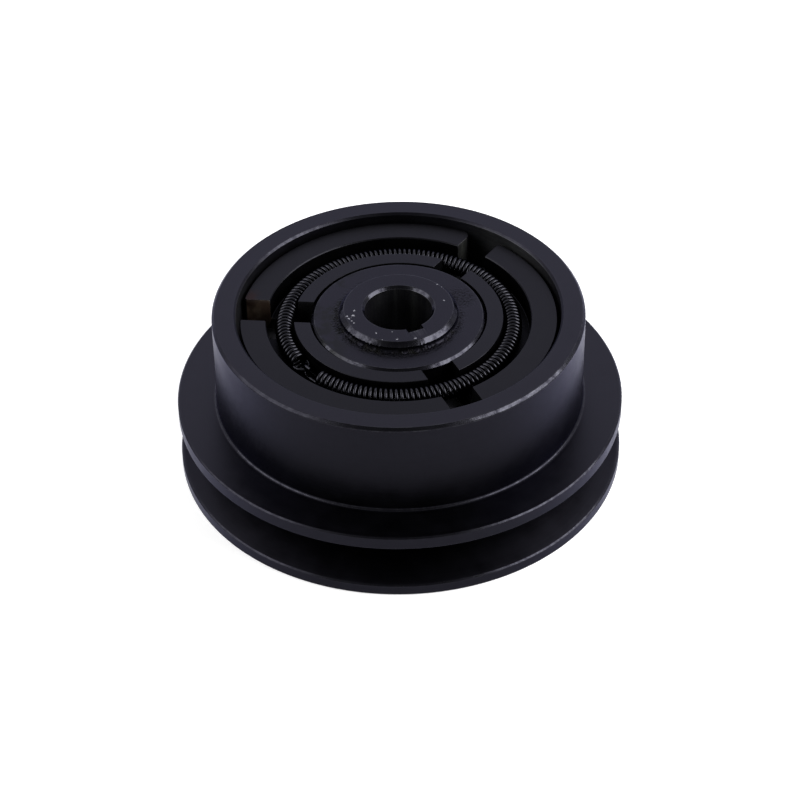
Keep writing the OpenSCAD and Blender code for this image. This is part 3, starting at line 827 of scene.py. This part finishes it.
# %% Hub finish: chipped flakes
HUB_SKIN = (0.0086, 0.0083, 0.0114)
CHIP_RAGGED, CHIP_SPECKS, CHIP_SOFT, CHIP_BELOW = 1.6, 1700.0, 0.06, 0.3
CHIPS = (
    # (x, y, radius) in mm
    (-12.4, -2.3, 0.3), (-12.4, -4.6, 0.36), (-14.2, -5.1, 0.3), (-13.3, -6.0, 0.3),
    (-12.4, -7.0, 0.2), (-11.8, -8.0, 0.1), (-5.1, -12.1, 0.16), (-3.2, -15.1, 0.14),
    (-0.8, -11.3, 0.05), (0.8, -14.5, 0.3), (5.8, -13.7, 0.32), (12.6, 4.1, 0.1),
    (10.1, 11.6, 0.0), (11.6, 10.3, 0.1), (12.2, 9.4, 0.08),
)

hub_finish, tree, shader, film, bump = blackened(
    "hub_black_steel", HUB_SKIN, 0.34, 0.3, UPRIGHT, rub=0.85, rubbed=0.028
)
place = tree.place()
x, y, z = tree.add("ShaderNodeSeparateXYZ", {0: place}).outputs
flat = tree.add("ShaderNodeCombineXYZ", {0: x, 1: y}).outputs[0]
nearest = 1.0
for cx, cy, size in CHIPS:
    gap = tree.vector("DISTANCE", flat, (cx * MM, cy * MM, 0))
    nearest = tree.math("MINIMUM", nearest, tree.math("SUBTRACT", gap, size * MM))
ragged = tree.sway(tree.noise(place, CHIP_SPECKS), CHIP_RAGGED * MM, nearest)
on_top = tree.math("GREATER_THAN", z, (BOSS_Z - CHIP_BELOW) * MM)
chipped = tree.times(tree.ramp(ragged, CHIP_SOFT * MM, -CHIP_SOFT * MM), on_top)
print(len(CHIPS), "chips")

# %% Hub finish: torn skin and clouds
CHIP_COLOR = (0.17, 0.17, 0.19, 1)
TORN_COLOR = (0.0056, 0.0055, 0.0047, 1)
CLOUD_COLOR = (0.0058, 0.0060, 0.0052, 1)
PITS, PIT_BAND, PITTED_FROM = (520.0, 5.0, 0.75), (0.58, 0.42), (0.12, 0.75)
FOOT_STAIN = (0.5, 0.9, 0.0, 0.6)
FLANGE_CLOUDS, CLOUD_BAND = (170.0, 4.0, 0.6), (0.44, 0.56, 0.0, 0.7)
PIT_HEIGHT, TORN_ROUGH = 22.0, 0.25
CLOUDY_FROM, CLOUDY_FULL, CLOUDY_HIGH = -10, -18, 0.6  # mm along X, and above the flange

tear = tree.mark("torn")
pits = tree.noise(place, *PITS)
pitted = tree.times(tree.ramp(tear, *PITTED_FROM), tree.ramp(pits, *PIT_BAND))
stain = tree.math("MAXIMUM", tree.ramp(tear, *FOOT_STAIN), pitted)
clouds = tree.ramp(tree.noise(place, *FLANGE_CLOUDS), *CLOUD_BAND)
on_left = tree.ramp(x, CLOUDY_FROM * MM, CLOUDY_FULL * MM)
on_flange = tree.ramp(z, (FLANGE_TOP + CLOUDY_HIGH) * MM, FLANGE_TOP * MM)
cloudy = tree.times(clouds, tree.times(on_left, on_flange))
color = tree.mix(cloudy, film.outputs["Color"], CLOUD_COLOR)
color = tree.mix(stain, color, TORN_COLOR)
tree.fill(shader.inputs["Base Color"], tree.mix(chipped, color, CHIP_COLOR))
rough = tree.math("MULTIPLY_ADD", tear, TORN_ROUGH, film.outputs["Roughness"])
tree.fill(shader.inputs["Roughness"], rough)
marks = bump.inputs["Height"].links[0].from_socket
pit_height = tree.math("MULTIPLY_ADD", tree.times(tear, pits), PIT_HEIGHT, marks)
tree.fill(bump.inputs["Height"], pit_height)

hub = new_piece(
    "turned_hub", points, strips(len(rings), len(disc_ring(1))),
    {"edge": edges, "bare": bares, "torn": tears}, hub_finish,
)

# %% [markdown]
# ## Shoes
#
# A shoe is a third of a ring: an inner wall that the spring hugs, the groove for the
# spring, and a heavy outer wall. It is sawn out of a turned ring, so its ends are flat and
# parallel to the middle of the slot. The saw left them bare, so they are dull and grey, and
# one end has rusted brown. The section is drawn once and carried along the shoe. Its
# columns stand parallel to the sawn face at both ends and spread out like a fan between
# them, and the first few also follow the rounding of the outer corner. One corner is worn
# much rounder than the others.

# %% Shoe sizes
SLOT_HALF, SHOE_CORNER, WORN_CORNER, SHOE_CHAMFER = 4.75, 0.6, 2.4, 0.3
LIP_R, LIP_TOP, LIP_FILLET, SHOE_INNER_R, SPRING_WALL_R = 17.45, 41.6, 0.2, 25.1, 29.7
OUTER_WALL_R, SHOE_R, SHOE_LOW, SHOE_TOP = 37.6, 45.1, 25.15, 47.7
SPRING_FLOOR, SPRING_FILLET = 41.3, 0.3
SHOE_BREAK, SAW_BREAK, WALL_CHAMFER = 0.1, 0.08, 0.12
HALF_SHOE = math.radians(60)  # from the middle of a shoe to the middle of a slot
WORN_SHOE = 2

shoe_corners = [
    (LIP_R, SHOE_LOW, SHOE_BREAK),
    (SHOE_R - SHOE_CHAMFER, SHOE_LOW, SHOE_BREAK),
    (SHOE_R, SHOE_LOW + SHOE_CHAMFER, SHOE_BREAK),
    (SHOE_R, SHOE_TOP - SHOE_CHAMFER, SHOE_BREAK),
    (SHOE_R - SHOE_CHAMFER, SHOE_TOP, SHOE_BREAK),
    (OUTER_WALL_R + SHOE_CHAMFER, SHOE_TOP, SHOE_BREAK),
    (OUTER_WALL_R, SHOE_TOP - SHOE_CHAMFER, SHOE_BREAK),
    (OUTER_WALL_R, SPRING_FLOOR, SPRING_FILLET),
    (SPRING_WALL_R, SPRING_FLOOR, SPRING_FILLET),
    (SPRING_WALL_R, SHOE_TOP - WALL_CHAMFER, SHOE_BREAK),
    (SPRING_WALL_R - WALL_CHAMFER, SHOE_TOP, SHOE_BREAK),
    (SHOE_INNER_R, SHOE_TOP, SHOE_BREAK),
    (SHOE_INNER_R, LIP_TOP, LIP_FILLET),
    (LIP_R, LIP_TOP, SHOE_BREAK),
]
print("a shoe is %.2f mm from its lip to its face" % (SHOE_R - LIP_R))

# %% Shoe columns
CORNER_STEPS, FAN_STEPS = 9, 110
FACE_SKIN = 1.0  # mm under the outer face that follows a rounded corner


def inset(profile, depth):
    """The profile drawn in by depth, for the broken edge round a sawn face."""
    made = []
    for i, (r, h, *_) in enumerate(profile):
        before, after = profile[i - 1], profile[(i + 1) % len(profile)]
        a = Vector((r - before[0], h - before[1])).normalized()
        b = Vector((after[0] - r, after[1] - h)).normalized()
        inwards = Vector((-a.y - b.y, a.x + b.x)) / (1 + a.dot(b))
        made.append((r + inwards.x * depth, h + inwards.y * depth))
    return made


def end_column(profile, across, limit):
    """A column across mm from the middle of the slot: (angle from it, radius, height)."""
    radii = [limit - (SHOE_R - r) if r > SHOE_R - FACE_SKIN else r for r, *_ in profile]
    return [(math.asin(across / r), r, point[1]) for r, point in zip(radii, profile)]


def end_columns(profile, corner):
    """The columns at the first end of a shoe, from its sawn face to the end of its corner."""
    along = math.sqrt((SHOE_R - corner) ** 2 - (SLOT_HALF + corner) ** 2)
    turn_start = math.acos((corner - SAW_BREAK) / corner)
    turn_end = math.pi / 2 + math.asin((SLOT_HALF + corner) / (SHOE_R - corner))
    columns = [end_column(inset(profile, SAW_BREAK), SLOT_HALF, math.hypot(along, SLOT_HALF))]
    for turn in spread(turn_start, turn_end, CORNER_STEPS):
        across = SLOT_HALF + corner * (1 - math.cos(turn))
        limit = math.hypot(along + corner * math.sin(turn), across)
        columns.append(end_column(profile, across, limit))
    return [[(angle - HALF_SHOE, r, h) for angle, r, h in column] for column in columns]


def shoe_columns(profile, first_corner, last_corner):
    """All the columns of a shoe whose middle is at angle 0."""
    first = end_columns(profile, first_corner)
    mirrored = reversed(end_columns(profile, last_corner))
    last = [[(-angle, r, h) for angle, r, h in column] for column in mirrored]
    fan = [
        [(p[0] + (q[0] - p[0]) * k / FAN_STEPS, p[1], p[2]) for p, q in zip(first[-1], last[0])]
        for k in range(1, FAN_STEPS)
    ]
    return first + fan + last


# %% Shoe finish
SHOE_SKIN = (0.0080, 0.0079, 0.0095)
# The second tint dims the sheen below the top faces: painted shade.
SHOE_TINT, DEEP_SHADE_TINT = (0.67, 0.67, 0.76, 1), (0.18, 0.19, 0.18, 1)
STAIN, STAIN_R, STAIN_COLOR = Vector((-43.0, 6.0, 47.0)), 4.2, (0.012, 0.0065, 0.0055, 1)
STAIN_SPECKS, STAIN_RAGGED, STAIN_DEPTH = (380.0, 3.0), 6, 0.75
DEEP, SHALLOW, WALL_FADE = 1.5, 0.4, 1  # mm under the top and beside the walls of the groove

shoe_finish, tree, shader, film, _ = blackened(
    "shoe_black_steel", SHOE_SKIN, 0.38, 0.4, UPRIGHT, rub=0.1
)
place = tree.place()
away, z = tree.from_axis(place)
outside = tree.ramp(away, (SPRING_WALL_R + WALL_FADE) * MM, (OUTER_WALL_R - WALL_FADE) * MM)
on_top = tree.ramp(z, (SHOE_TOP - DEEP) * MM, (SHOE_TOP - SHALLOW) * MM)
# Below the top faces the sheen fades to the dark tint, as painted shade in the groove and down the sides.
sheen = tree.mix(on_top, DEEP_SHADE_TINT, tree.mix(outside, EDGE_TINT, SHOE_TINT))
tree.fill(shader.inputs["Specular Tint"], sheen)
gap = tree.vector("DISTANCE", place, STAIN * MM)
blotch = tree.sway(tree.noise(place, *STAIN_SPECKS), STAIN_RAGGED * MM, gap)
stained = tree.ramp(blotch, STAIN_R * MM, 0.0, 0.0, STAIN_DEPTH)
tree.fill(shader.inputs["Base Color"], tree.mix(stained, film.outputs["Color"], STAIN_COLOR))
print("made", shoe_finish.name)


# %% Shoe meshes
def at_shoe(number):
    """The angle of the middle of a shoe."""
    return 2 * HALF_SHOE * (number - 1)


SAWN = {
    # shoe: how bare its sawn ends are, (outer wall, inner wall) at the first and the last end
    1: ((0.1, 0.0), (0.2, 0.2)),
    2: ((0.42, 0.1), (0.95, 0.2)),
    3: ((0.2, 0.2), (0.2, 0.2)),
}
OUTER_PART = OUTER_WALL_R - 0.5
profile = rounded(shoe_corners, steps=3)
tall = len(profile)


def sawn_marks(end):
    """How bare the points of a sawn end are."""
    return [end[0] if p[0] > OUTER_PART else end[1] for p in profile]


shoes = []
for number, (first_end, last_end) in SAWN.items():
    corner = WORN_CORNER if number == WORN_SHOE else SHOE_CORNER
    columns = shoe_columns(profile, corner, SHOE_CORNER)
    faces = strips(len(columns), tall, rows_close=False)
    faces += [tuple(range(tall)), tuple(range((len(columns) - 1) * tall, len(columns) * tall))]
    untouched = [0.0] * tall * (len(columns) - 2)
    marks = {
        "edge": [p[2] for p in profile] * len(columns),
        "bare": sawn_marks(first_end) + untouched + sawn_marks(last_end),
    }
    middle = at_shoe(number)
    points = [point_at(angle + middle, r, h) for column in columns for angle, r, h in column]
    shoes.append(new_piece(f"sawn_shoe_{number}", points, faces, marks, shoe_finish))

# %% [markdown]
# ## Garter spring
#
# The garter spring is one long coil, bent into a ring and hooked to itself. This is a
# shape that follows a rule, so Geometry Nodes make it. Python only lays points on the
# circle through the middle of the coil. The tree then lifts each point off that circle
# by an angle that grows with the way round it, which winds the line into a coil, and
# sweeps a round wire along it. Points of the two hooks already lie where the wire goes,
# and carry an attribute that keeps them there.
#
# The photograph shows the two hooks at the lower left: a long one that stands upright and
# a short one that lies flat in it. Each shoe carries the third of the ring in its groove.

# %% Spring sizes
RING_R, COIL_Z, COIL_R, WIRE_R = 32.42, 44.45, 2.2, 0.5
COIL_TURNS = 137.25
JOINT_ANGLE, JOINT_LEN = 224.4, 8.9
WIRE_SIDES, STATIONS, BEND_STEPS = 8, 20, 16
START_PHASE, END_PHASE = -90, 180  # degrees round the coil where the hooks leave it
joint_half = math.degrees(JOINT_LEN / 2 / RING_R)
coil_start, coil_sweep = JOINT_ANGLE + joint_half, 360 - 2 * joint_half
# Hooks: (bend radius, leg, leg behind the bend). They reach past each other by one wire and a gap.
HOOK_GAP, LONG_BEND = 0.07, 1.65
SHORT_HOOK = (2.2, 0.8, 0.3)
LONG_HOOK = (LONG_BEND, JOINT_LEN + 2 * WIRE_R + HOOK_GAP - sum(SHORT_HOOK[:2]) - LONG_BEND, 1.5)
print("the long hook has a leg of %.2f mm" % LONG_HOOK[1])

# %% Spring tree: named inputs
winding = bpy.data.node_groups.new("wound_wire", "GeometryNodeTree")
sockets = {}
for label, kind, default in (
    ("Geometry", "Geometry", None),
    ("Coil radius", "Float", COIL_R * MM),
    ("Wire radius", "Float", WIRE_R * MM),
    ("Turns", "Float", COIL_TURNS),
    ("Start", "Float", math.radians(coil_start)),
    ("Sweep", "Float", math.radians(coil_sweep)),
    ("Wire sides", "Int", WIRE_SIDES),
    ("Finish", "Material", None),
):
    made = winding.interface.new_socket(label, in_out="INPUT", socket_type="NodeSocket" + kind)
    if default is not None:
        made.default_value = default
    sockets[label] = made.identifier
winding.interface.new_socket("Geometry", in_out="OUTPUT", socket_type="NodeSocketGeometry")
print("inputs:", ", ".join(sockets))

# %% Spring tree: lift each point off the ring, then sweep the wire
tree = Tree(winding)
given = tree.add("NodeGroupInput").outputs
here = tree.add("GeometryNodeInputPosition").outputs[0]
x, y, z = tree.add("ShaderNodeSeparateXYZ", {0: here}).outputs
angle = tree.math("ARCTAN2", y, x)
travelled = tree.math("FLOORED_MODULO", tree.math("SUBTRACT", angle, given["Start"]), TURN)
turned = tree.times(tree.math("DIVIDE", travelled, given["Sweep"]), given["Turns"])
phase = tree.times(tree.math("ADD", turned, -START_PHASE / 360), -TURN)
outwards = tree.times(tree.math("COSINE", phase), given["Coil radius"])
lift = tree.add("ShaderNodeCombineXYZ", {
    0: tree.times(outwards, tree.math("COSINE", angle)),
    1: tree.times(outwards, tree.math("SINE", angle)),
    2: tree.times(tree.math("SINE", phase), given["Coil radius"]),
}).outputs[0]
hooked = tree.add("GeometryNodeInputNamedAttribute", {"Name": "hook"}, data_type="FLOAT").outputs[0]
coiled = tree.add(
    "FunctionNodeCompare", {0: hooked, 1: 0.5}, operation="LESS_THAN", data_type="FLOAT"
).outputs[0]
moved = tree.add(
    "GeometryNodeSetPosition", {"Geometry": given["Geometry"], "Selection": coiled, "Offset": lift}
)
line = tree.add("GeometryNodeMeshToCurve", {"Mesh": moved.outputs[0]})
section = tree.add("GeometryNodeCurvePrimitiveCircle", {
    "Resolution": given["Wire sides"], "Radius": given["Wire radius"],
})
swept = tree.add("GeometryNodeCurveToMesh", {
    "Curve": line.outputs[0], "Profile Curve": section.outputs[0], "Fill Caps": True,
})
smooth = tree.add("GeometryNodeSetShadeSmooth", {"Geometry": swept.outputs[0]})
real = tree.add("GeometryNodeRealizeInstances", {"Geometry": smooth.outputs[0]})
finished = tree.add("GeometryNodeSetMaterial", {
    "Geometry": real.outputs[0], "Material": given["Finish"],
})
tree.add("NodeGroupOutput", {0: finished.outputs[0]})
print("spring tree:", len(winding.nodes), "nodes")


# %% Points for the coils and the hooks
def ring_stations(start, end):
    """Points on the middle circle of the ring, (place, is a hook), from one angle to another."""
    count = round((end - start) / coil_sweep * COIL_TURNS * STATIONS)
    angles = [math.radians(a) for a in spread(start, end, count + 1)]
    return [(point_at(a, RING_R, COIL_Z), 0.0) for a in angles]


def hook_stations(start, heading, phase, bend_r, leg, behind):
    """A hook leaves the last coil, runs along the ring and bends back in a half circle."""
    legs = [(leg * k / 4, 0) for k in (1, 2, 3)]
    bend = [(leg, math.pi * k / BEND_STEPS) for k in range(BEND_STEPS + 1)]
    back_leg = [(leg - behind * k, math.pi) for k in (0.5, 1)]
    stations = []
    for run, turn in legs + bend + back_leg:
        a = math.radians(start) + heading * (run + bend_r * math.sin(turn)) / RING_R
        out = point_at(a, 1, 0)
        side = out * math.cos(math.radians(phase)) + Vector((0, 0, math.sin(math.radians(phase))))
        middle = out * RING_R + Vector((0, 0, COIL_Z))
        stations.append((middle + side * (COIL_R - bend_r * (1 - math.cos(turn))), 1.0))
    return stations


first_hook = list(reversed(hook_stations(coil_start, -1, START_PHASE, *LONG_HOOK)))
last_hook = hook_stations(coil_start + coil_sweep, 1, END_PHASE, *SHORT_HOOK)
coil_end = coil_start + coil_sweep - 360
thirds = {
    1: [ring_stations(300, 420)],
    2: [ring_stations(60, 180)],
    3: [first_hook + ring_stations(coil_start, 300), ring_stations(180, coil_end) + last_hook],
}
print("points on the spring:", sum(len(line) for lines in thirds.values() for line in lines))

# %% Wind the wire
spring_finish = principled("spring_wire", {
    "Base Color": (0.019, 0.019, 0.0225, 1), "Metallic": 1.0, "Roughness": 0.24,
    "Specular Tint": (0.42, 0.42, 0.48, 1),
})[0]
springs = {}
for number, lines in thirds.items():
    places, links, hooks = [], [], []
    for stations in lines:
        first = len(places)
        places += [p * MM for p, _ in stations]
        hooks += [h for _, h in stations]
        links += [(k, k + 1) for k in range(first, len(places) - 1)]
    mesh = bpy.data.meshes.new(f"line_{number}")
    mesh.from_pydata(places, links, [])
    mesh.attributes.new("hook", "FLOAT", "POINT").data.foreach_set("value", hooks)
    guide = bpy.data.objects.new(f"line_{number}", mesh)
    bpy.context.collection.objects.link(guide)
    wind = guide.modifiers.new("wind", "NODES")
    wind.node_group = winding
    for label, value in (("Turns", COIL_TURNS), ("Wire sides", WIRE_SIDES), ("Finish", spring_finish)):
        wind[sockets[label]] = value
    wound = guide.evaluated_get(bpy.context.evaluated_depsgraph_get())
    result = bpy.data.meshes.new_from_object(wound)
    result.name = f"garter_coils_{number}"
    springs[number] = bpy.data.objects.new(result.name, result)
    bpy.context.collection.objects.link(springs[number])
    bpy.data.objects.remove(guide)
    print(result.name, len(result.polygons), "faces")

# %% [markdown]
# ## Bearings, seals and circlips
#
# These are bought parts of plain turned, stamped or moulded shape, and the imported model
# already has them exactly. Their meshes stay as they are and only get a finish: ground
# rings, polished balls, cages of natural polyamide, rubber seals and phosphated circlips.
# Each finish wanders between two tones and two roughnesses, through one small group.

# %% Group: speckle
group, tree = new_group(
    "speckle",
    {
        "Dark": ("Color", (0.1, 0.1, 0.1, 1)),
        "Light": ("Color", (0.2, 0.2, 0.2, 1)),
        "Smooth": ("Float", 0.2),
        "Rough": ("Float", 0.4),
        "Scale": ("Float", 300.0),
    },
    {"Color": "Color", "Roughness": "Float", "Height": "Float"},
)
SPECKS, SPECK_LOW, SPECK_HIGH = (4.0, 0.6), 0.35, 0.65
given = tree.add("NodeGroupInput").outputs
specks = tree.noise(tree.place(), given["Scale"], *SPECKS)
amount = tree.ramp(specks, SPECK_LOW, SPECK_HIGH)
tree.add("NodeGroupOutput", {
    "Color": tree.mix(amount, given["Dark"], given["Light"]),
    "Roughness": tree.ramp(specks, SPECK_LOW, SPECK_HIGH, given["Smooth"], given["Rough"]),
    "Height": specks,
})
speckle = group
print("group:", speckle.name)

# %% Finishes of the bought parts
BOUGHT = {
    # finish: (dark, light, metallic, smooth, rough, specks per metre, bump in mm, parts)
    "ground_steel": (
        (0.46, 0.46, 0.48), (0.58, 0.58, 0.6), 1.0, 0.2, 0.32, 900.0, 0.002, ("outer_ring", "inner_ring"),
    ),
    "polished_steel": (
        (0.6, 0.6, 0.61), (0.66, 0.66, 0.67), 1.0, 0.06, 0.1, 300.0, 0.0, ("balls",),
    ),
    "polyamide": (
        (0.5, 0.42, 0.26), (0.62, 0.54, 0.36), 0.0, 0.45, 0.6, 500.0, 0.01, ("cage",),
    ),
    "seal_rubber": (
        (0.014, 0.014, 0.015), (0.03, 0.03, 0.032), 0.0, 0.5, 0.7, 1200.0, 0.01, ("top_seal", "bottom_seal"),
    ),
    "phosphated_steel": (
        (0.035, 0.035, 0.037), (0.075, 0.075, 0.08), 0.8, 0.42, 0.6, 900.0, 0.006, ("circlip",),
    ),
}
for finish, (dark, light, metallic, low, high, scale, depth, parts) in BOUGHT.items():
    material, tree, shader = principled(finish, {"Metallic": metallic})
    look = tree.add("ShaderNodeGroup", {
        "Dark": (*dark, 1), "Light": (*light, 1), "Smooth": low, "Rough": high, "Scale": scale,
    }, node_tree=speckle)
    tree.fill(shader.inputs["Base Color"], look.outputs["Color"])
    tree.fill(shader.inputs["Roughness"], look.outputs["Roughness"])
    if depth:
        bump = tree.add("ShaderNodeBump", {
            "Distance": depth * MM, "Height": look.outputs["Height"],
        })
        tree.fill(shader.inputs["Normal"], bump.outputs[0])
    given_to = [name for name in sorted(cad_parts) if name.endswith(parts)]
    for name in given_to:
        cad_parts[name].data.materials.clear()
        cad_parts[name].data.materials.append(material)
    print(finish, "on", ", ".join(given_to))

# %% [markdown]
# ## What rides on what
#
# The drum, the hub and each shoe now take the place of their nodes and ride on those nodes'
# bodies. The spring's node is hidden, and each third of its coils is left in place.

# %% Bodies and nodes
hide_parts("drum_pulley")
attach(drum, "drum")
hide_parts("driver_hub")
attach(hub, "hub")
for number, shoe in enumerate(shoes, 1):
    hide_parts(f"shoe_{number}")
    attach(shoe, f"shoe_{number}")
    coils, way = springs[number], point_at(at_shoe(number), 1, 0)
    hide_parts("garter_spring")
    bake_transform(coils)
